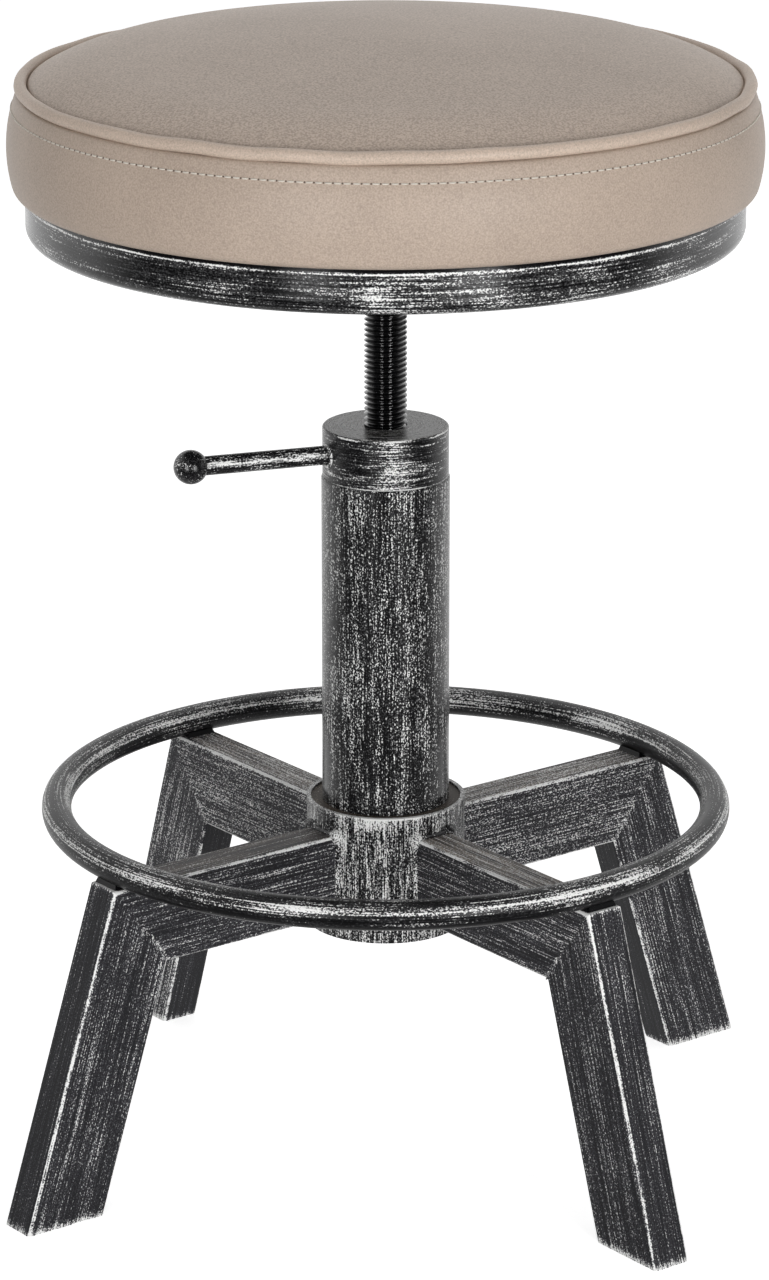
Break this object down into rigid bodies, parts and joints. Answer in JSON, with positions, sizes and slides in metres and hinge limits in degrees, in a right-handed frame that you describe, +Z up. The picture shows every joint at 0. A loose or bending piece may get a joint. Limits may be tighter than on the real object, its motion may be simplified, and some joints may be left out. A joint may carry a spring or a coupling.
{
  "type": "height-adjustable screw stool",
  "caption": "Round piped cushion in a steel pan on a screw that climbs through a column nut, with a lever lock collar, splayed tube legs and a foot ring.",
  "frame": {"origin": "on the floor under the column's axis", "axes": "+Z up along the column's axis, front towards -Y, legs on the diagonals"},
  "size_m": [0.346, 0.346, 0.535],
  "materials": {
    "cover": "satin",
    "foam": "matte",
    "plywood": "matte",
    "distressed_paint": "satin",
    "black_screw": "gloss",
    "zinc_steel": "satin",
    "nylon": "satin"
  },
  "bodies": {
    "base": {"column_tube": "distressed_paint", "column_nut": "black_screw", "column_base_plug": "distressed_paint", "hub_tube": "distressed_paint", "hub_sleeve": "distressed_paint", "hub_floor": "distressed_paint", "centre_bolt": "zinc_steel", "centre_washer": "zinc_steel", "arm_back_right": "distressed_paint", "arm_back_left": "distressed_paint", "arm_front_left": "distressed_paint", "arm_front_right": "distressed_paint", "leg_back_right": "distressed_paint", "leg_back_left": "distressed_paint", "leg_front_left": "distressed_paint", "leg_front_right": "distressed_paint", "foot_plate_back_right": "distressed_paint", "foot_plate_back_left": "distressed_paint", "foot_plate_front_left": "distressed_paint", "foot_plate_front_right": "distressed_paint", "foot_ring": "distressed_paint", "ring_welds": "distressed_paint"},
    "collar": {"lock_collar": "distressed_paint", "lever_rod": "distressed_paint", "lever_ball": "distressed_paint"},
    "guide": {"guide_bush": "nylon"},
    "seat": {"seat_top_panel": "cover", "seat_side_band": "cover", "seat_piping": "cover", "seat_foam": "foam", "seat_board": "plywood", "board_tee_nuts": "zinc_steel", "seat_pan": "distressed_paint", "screw_flange": "distressed_paint", "seat_bolts": "zinc_steel", "seat_bolt_washers": "zinc_steel", "height_screw": "black_screw", "stop_washer": "zinc_steel", "stop_bolt": "zinc_steel"}
  },
  "joints": [
    {"name": "seat_lift", "type": "slide", "parent": "base", "child": "guide", "axis": [0, 0, 1], "range_m": [-0.0751, 0.0626]},
    {"name": "seat_turn", "type": "hinge", "parent": "guide", "child": "seat", "pos_m": [0, 0, 0.3], "axis": [0, 0, 1], "range_deg": [-10800, 9000]},
    {"name": "lock_turn", "type": "hinge", "parent": "base", "child": "collar", "pos_m": [0, 0, 0.337], "axis": [0, 0, 1], "range_deg": [0, 90]}
  ],
  "couplings": [
    {"joint": "seat_lift", "follows": "seat_turn", "m_per_rad": 0.00039789}
  ]
}
